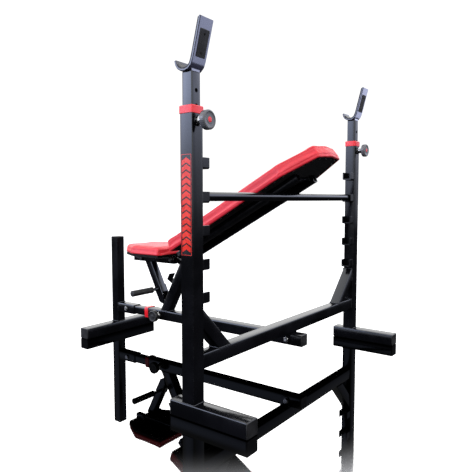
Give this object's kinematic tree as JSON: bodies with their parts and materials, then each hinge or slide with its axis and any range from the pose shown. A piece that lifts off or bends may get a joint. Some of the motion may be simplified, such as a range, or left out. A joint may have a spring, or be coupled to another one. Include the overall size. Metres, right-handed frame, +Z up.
{
  "type": "olympic bench press",
  "caption": "Weight bench with a wide height-adjustable barbell rack, backrest held by a cross bar in stepped saddles, tilting seat and telescopic front leg.",
  "frame": {"origin": "on the floor, below the middle of the bounding box", "axes": "+Z up, +Y from the foot end to the rack, +X to the side of the rack that has the graphic and the seat handle"},
  "size_m": [1.224, 1.2826, 1.204],
  "materials": {
    "black_powder_coat": "gloss black powder coat",
    "red_vinyl": "red vinyl over foam",
    "red_plastic": "red moulded plastic",
    "black_plastic": "black moulded plastic",
    "black_rubber": "matt black rubber",
    "zinc_steel": "zinc plated",
    "black_board": "plywood under black cloth"
  },
  "bodies": {
    "base": {"upright_near": "black_powder_coat", "rear_foot_near": "black_powder_coat", "brace_near": "black_powder_coat", "saddle_near_1": "black_powder_coat", "saddle_near_2": "black_powder_coat", "saddle_near_3": "black_powder_coat", "saddle_near_4": "black_powder_coat", "saddle_near_5": "black_powder_coat", "collar_near": "red_plastic", "foot_cap_near_front": "black_plastic", "foot_cap_near_rear": "black_plastic", "bar_plug_near": "black_plastic", "upright_far": "black_powder_coat", "rear_foot_far": "black_powder_coat", "brace_far": "black_powder_coat", "saddle_far_1": "black_powder_coat", "saddle_far_2": "black_powder_coat", "saddle_far_3": "black_powder_coat", "saddle_far_4": "black_powder_coat", "saddle_far_5": "black_powder_coat", "collar_far": "red_plastic", "foot_cap_far_front": "black_plastic", "foot_cap_far_rear": "black_plastic", "bar_plug_far": "black_plastic", "cross_beam": "black_powder_coat", "main_beam": "black_powder_coat", "seat_post": "black_powder_coat", "support_bar": "black_powder_coat", "beam_cap": "black_plastic", "beam_collar": "red_plastic", "beam_bolt": "zinc_steel", "backrest_pin": "zinc_steel", "seat_pin": "zinc_steel"},
    "hook_post_near": {"inner_upright_near": "black_powder_coat", "hook_near": "black_powder_coat", "hook_liner_near": "black_plastic"},
    "hook_post_far": {"inner_upright_far": "black_powder_coat", "hook_far": "black_powder_coat", "hook_liner_far": "black_plastic"},
    "knob_pin_near": {"knob_near": "black_plastic"},
    "knob_pin_far": {"knob_far": "black_plastic"},
    "knob_pin_beam": {"beam_knob": "black_plastic"},
    "front_leg": {"front_post": "black_powder_coat", "post_cap": "black_plastic", "front_foot": "black_powder_coat", "front_cap_near": "black_plastic", "front_cap_far": "black_plastic", "inner_beam": "black_powder_coat", "socket_bolt": "zinc_steel"},
    "backrest": {"backrest_frame": "black_powder_coat", "backrest_board": "black_board", "backrest_pad": "red_vinyl"},
    "seat": {"seat_frame": "black_powder_coat", "seat_board": "black_board", "seat_pad": "red_vinyl", "strut_pin": "zinc_steel"},
    "strut": {"seat_strut": "black_powder_coat", "handle_grip": "black_rubber"}
  },
  "joints": [
    {"name": "hook_height_near", "type": "slide", "parent": "base", "child": "hook_post_near", "axis": [0, 0, 1], "range_m": [-0.09, 0.18]},
    {"name": "hook_height_far", "type": "slide", "parent": "base", "child": "hook_post_far", "axis": [0, 0, 1], "range_m": [-0.09, 0.18]},
    {"name": "pull_pin_near", "type": "slide", "parent": "base", "child": "knob_pin_near", "axis": [0, 1, 0], "range_m": [0, 0.012], "stiffness_N_per_m": 700, "springref_m": -0.003},
    {"name": "pull_pin_far", "type": "slide", "parent": "base", "child": "knob_pin_far", "axis": [0, 1, 0], "range_m": [0, 0.012], "stiffness_N_per_m": 700, "springref_m": -0.003},
    {"name": "pull_pin_beam", "type": "slide", "parent": "base", "child": "knob_pin_beam", "axis": [1, 0, 0], "range_m": [0, 0.012], "stiffness_N_per_m": 700, "springref_m": -0.003},
    {"name": "front_leg_reach", "type": "slide", "parent": "base", "child": "front_leg", "axis": [0, -1, 0], "range_m": [-0.06, 0.12]},
    {"name": "backrest_tilt", "type": "hinge", "parent": "base", "child": "backrest", "pos_m": [0, -0.10462, 0.43758], "axis": [1, 0, 0], "range_deg": [0, 35]},
    {"name": "seat_tilt", "type": "hinge", "parent": "base", "child": "seat", "pos_m": [0, -0.18475, 0.402], "axis": [-1, 0, 0], "range_deg": [0, 12]},
    {"name": "strut_swing", "type": "hinge", "parent": "seat", "child": "strut", "pos_m": [0, -0.38175, 0.395], "axis": [1, 0, 0], "range_deg": [0, 15.7]}
  ],
  "couplings": [
    {"joint": "strut_swing", "follows": "seat_tilt", "ratio": 1.3}
  ]
}
